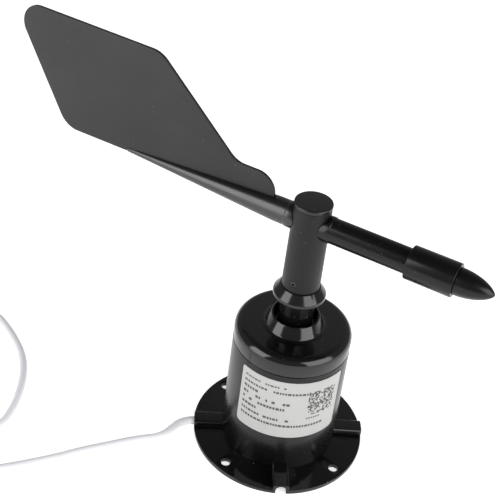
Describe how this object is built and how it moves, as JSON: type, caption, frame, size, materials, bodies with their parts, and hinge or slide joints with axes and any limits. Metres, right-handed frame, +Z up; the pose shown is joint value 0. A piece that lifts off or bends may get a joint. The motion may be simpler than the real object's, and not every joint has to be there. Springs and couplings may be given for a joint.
{
  "type": "wind vane sensor",
  "caption": "Black wind vane sensor: tail blade and nose weight on a turning hub, drip skirt, round flanged body with label and cable ducts, white cable",
  "frame": {"origin": "centre of the flange's underside, on the vane's turning axis", "axes": "+Z up along the turning axis; the four cable ducts lie along +X, +Y, -X and -Y; the cable leaves by the -X duct; the label faces -Y"},
  "size_m": [0.3009, 0.1493, 0.1731],
  "materials": {
    "gloss_black": "polished black moulding",
    "satin_black": "satin black moulding",
    "matt_black": "matt dark grey moulding",
    "white_cable": "smooth white cable sheath",
    "label_white": "white plastic",
    "rubber": "matt black rubber",
    "steel": "stainless steel",
    "bearing_steel": "polished bearing steel",
    "brass": "turned brass",
    "aluminium": "turned aluminium",
    "magnet_grey": "nickel-plated magnet",
    "board_green": "green solder mask",
    "chip_black": "moulded electronic package",
    "core_brown": "brown wire insulation",
    "core_black": "black wire insulation",
    "core_yellow": "yellow wire insulation",
    "core_blue": "blue wire insulation"
  },
  "bodies": {
    "body": {"base_flange": "gloss_black", "top_cap": "gloss_black", "bottom_cover": "satin_black", "body_shell": "satin_black", "gland_nut": "satin_black", "cover_screw_1": "steel", "cover_screw_2": "steel", "base_screw_1": "steel", "base_screw_2": "steel", "base_screw_3": "steel", "base_screw_4": "steel", "board_screw_1": "steel", "board_screw_2": "steel", "board_screw_3": "steel", "board_screw_4": "steel", "housing_clip": "steel", "label": "label_white", "board_socket": "label_white", "cap_seal": "rubber", "cable_gland": "rubber", "coil_tie": "rubber", "sensor_board": "board_green", "standoff_1": "brass", "standoff_2": "brass", "standoff_3": "brass", "standoff_4": "brass", "angle_sensor_chip": "chip_black", "voltage_regulator": "chip_black", "filter_capacitor": "aluminium", "bearing_housing": "aluminium", "lower_bearing_outer_ring": "bearing_steel", "upper_bearing_outer_ring": "bearing_steel", "inner_lead": "white_cable", "cable_run": "white_cable", "cable_coil": "white_cable", "cable_end": "white_cable", "cable_core_1": "core_brown", "cable_core_2": "core_black", "cable_core_3": "core_yellow", "cable_core_4": "core_blue"},
    "vane": {"shaft": "steel", "magnet_holder": "satin_black", "magnet": "magnet_grey", "shaft_clip": "steel", "lower_bearing_inner_ring": "bearing_steel", "upper_bearing_inner_ring": "bearing_steel", "bearing_spacer": "aluminium", "neck_spacer": "aluminium", "neck_and_rain_skirt": "gloss_black", "vane_hub": "matt_black", "hub_cap": "satin_black", "hub_set_screw": "steel", "front_boom": "gloss_black", "nose_sleeve": "gloss_black", "nose_weight": "brass", "nose_tip": "gloss_black", "tail_boom": "gloss_black", "vane_blade": "matt_black"},
    "lower_cage": {"lower_ball_cage": "bearing_steel"},
    "upper_cage": {"upper_ball_cage": "bearing_steel"}
  },
  "joints": [
    {"name": "vane_turn", "type": "hinge", "parent": "body", "child": "vane", "pos_m": [0, 0, 0.0605], "axis": [0, 0, 1], "continuous": true},
    {"name": "lower_cage_turn", "type": "hinge", "parent": "body", "child": "lower_cage", "pos_m": [0, 0, 0.0465], "axis": [0, 0, 1], "continuous": true},
    {"name": "upper_cage_turn", "type": "hinge", "parent": "body", "child": "upper_cage", "pos_m": [0, 0, 0.0605], "axis": [0, 0, 1], "continuous": true}
  ],
  "couplings": [
    {"joint": "lower_cage_turn", "follows": "vane_turn", "ratio": 0.36},
    {"joint": "upper_cage_turn", "follows": "vane_turn", "ratio": 0.36}
  ]
}
